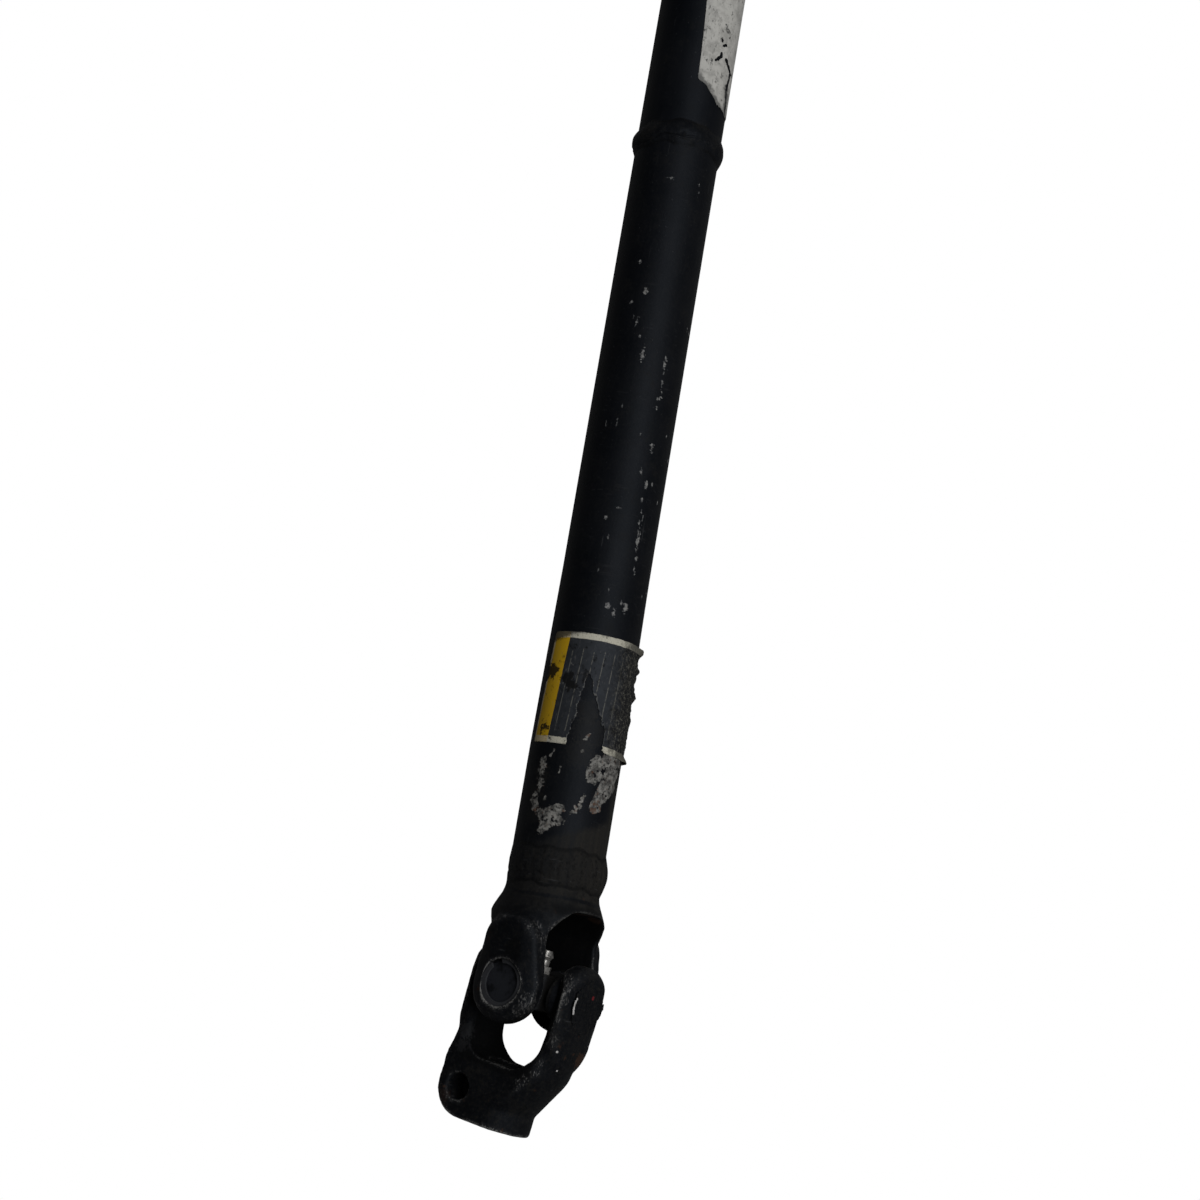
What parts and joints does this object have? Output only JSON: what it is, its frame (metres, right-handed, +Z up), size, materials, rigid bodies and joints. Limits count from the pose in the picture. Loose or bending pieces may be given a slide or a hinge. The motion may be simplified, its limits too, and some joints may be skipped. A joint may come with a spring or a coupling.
{
  "type": "vehicle steering shaft",
  "caption": "Telescoping heavy-vehicle steering shaft: a black painted tube with a splined slip joint, and a universal joint with a pinch-bolt clamp yoke at each end.",
  "frame": {"origin": "the centre of the lower universal joint, where its two trunnion axes cross", "axes": "+X runs along the shaft towards the upper joint, +Z is up as the shaft lies on a bench, and +Y completes a right-handed frame"},
  "size_m": [0.8594, 0.0623, 0.0576],
  "materials": {
    "black_paint": "satin black paint over steel, chipped to grey metal on edges",
    "bearing_steel": "hardened steel, dull with paint and grease on the ends",
    "black_rubber": "oil-resistant rubber",
    "spring_steel": "dark spring steel, overpainted",
    "zinc_plate": "bright zinc plate",
    "greased_steel": "machined steel with a film of grease",
    "forged_steel": "forged steel, dark and oily"
  },
  "bodies": {
    "tube_shaft": {"lower_tube_yoke": "black_paint", "lower_tube_yoke_cup_1": "bearing_steel", "lower_tube_yoke_cup_2": "bearing_steel", "lower_tube_yoke_needles_1": "bearing_steel", "lower_tube_yoke_needles_2": "bearing_steel", "lower_tube_yoke_seal_1": "black_rubber", "lower_tube_yoke_seal_2": "black_rubber", "lower_tube_yoke_snap_ring_1": "spring_steel", "lower_tube_yoke_snap_ring_2": "spring_steel", "main_tube": "black_paint", "slip_sleeve": "black_paint", "lower_weld_bead": "black_paint", "middle_weld_bead": "black_paint", "sleeve_plug": "forged_steel", "dust_cap": "black_paint", "wiper_seal": "black_rubber", "sleeve_grease_fitting": "zinc_plate"},
    "lower_spider": {"lower_cross": "forged_steel", "lower_cross_grease_fitting": "zinc_plate"},
    "lower_clamp": {"lower_clamp_yoke": "black_paint", "lower_clamp_yoke_cup_1": "bearing_steel", "lower_clamp_yoke_cup_2": "bearing_steel", "lower_clamp_yoke_needles_1": "bearing_steel", "lower_clamp_yoke_needles_2": "bearing_steel", "lower_clamp_yoke_seal_1": "black_rubber", "lower_clamp_yoke_seal_2": "black_rubber", "lower_clamp_yoke_snap_ring_1": "spring_steel", "lower_clamp_yoke_snap_ring_2": "spring_steel"},
    "slip_shaft": {"upper_shaft_yoke": "black_paint", "upper_shaft_yoke_cup_1": "bearing_steel", "upper_shaft_yoke_cup_2": "bearing_steel", "upper_shaft_yoke_needles_1": "bearing_steel", "upper_shaft_yoke_needles_2": "bearing_steel", "upper_shaft_yoke_seal_1": "black_rubber", "upper_shaft_yoke_seal_2": "black_rubber", "upper_shaft_yoke_snap_ring_1": "spring_steel", "upper_shaft_yoke_snap_ring_2": "spring_steel", "spline_shaft": "greased_steel", "upper_weld_bead": "black_paint"},
    "upper_spider": {"upper_cross": "forged_steel", "upper_cross_grease_fitting": "zinc_plate"},
    "upper_clamp": {"upper_clamp_yoke": "black_paint", "upper_clamp_yoke_cup_1": "bearing_steel", "upper_clamp_yoke_cup_2": "bearing_steel", "upper_clamp_yoke_needles_1": "bearing_steel", "upper_clamp_yoke_needles_2": "bearing_steel", "upper_clamp_yoke_seal_1": "black_rubber", "upper_clamp_yoke_seal_2": "black_rubber", "upper_clamp_yoke_snap_ring_1": "spring_steel", "upper_clamp_yoke_snap_ring_2": "spring_steel"}
  },
  "joints": [
    {"name": "lower_cross_pivot", "type": "hinge", "parent": "tube_shaft", "child": "lower_spider", "pos_m": [0, 0, 0], "axis": [0, 0.5664, 0.8241], "range_deg": [-21.5, 38.5]},
    {"name": "lower_clamp_pivot", "type": "hinge", "parent": "lower_spider", "child": "lower_clamp", "pos_m": [0, 0, 0], "axis": [-0.1478, -0.8151, 0.5602], "range_deg": [-30, 30]},
    {"name": "shaft_slide", "type": "slide", "parent": "tube_shaft", "child": "slip_shaft", "axis": [1, 0, 0], "range_m": [-0.05, 0.04]},
    {"name": "upper_cross_pivot", "type": "hinge", "parent": "slip_shaft", "child": "upper_spider", "pos_m": [0.74, 0, 0], "axis": [0, 0.5664, 0.8241], "range_deg": [-38.5, 21.5]},
    {"name": "upper_clamp_pivot", "type": "hinge", "parent": "upper_spider", "child": "upper_clamp", "pos_m": [0.74, 0, 0], "axis": [0.1478, -0.8151, 0.5602], "range_deg": [-30, 30]}
  ]
}
